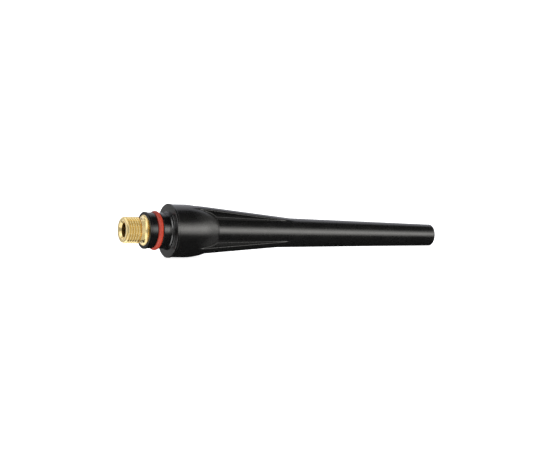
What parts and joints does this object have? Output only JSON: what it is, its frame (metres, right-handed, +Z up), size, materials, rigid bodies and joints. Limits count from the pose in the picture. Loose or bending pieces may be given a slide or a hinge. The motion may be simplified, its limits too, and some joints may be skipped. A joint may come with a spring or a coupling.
{
  "type": "tig torch long back cap",
  "caption": "Long tapered back cap for a TIG welding torch: ribbed moulded body with a blind electrode chamber, brass threaded stud and sealing ring.",
  "frame": {"origin": "centre of the flange face that seats on the torch head", "axes": "+X along the cap's axis towards its closed end, so the thread points to -X; +Z up"},
  "size_m": [0.1283, 0.0202, 0.0202],
  "materials": {
    "black_phenolic": "moulded, satin",
    "brass": "turned, bright",
    "silicone_ring": "smooth, satin"
  },
  "bodies": {
    "root": {"cap_body": "black_phenolic", "threaded_stud": "brass", "o_ring": "silicone_ring"}
  },
  "joints": []
}
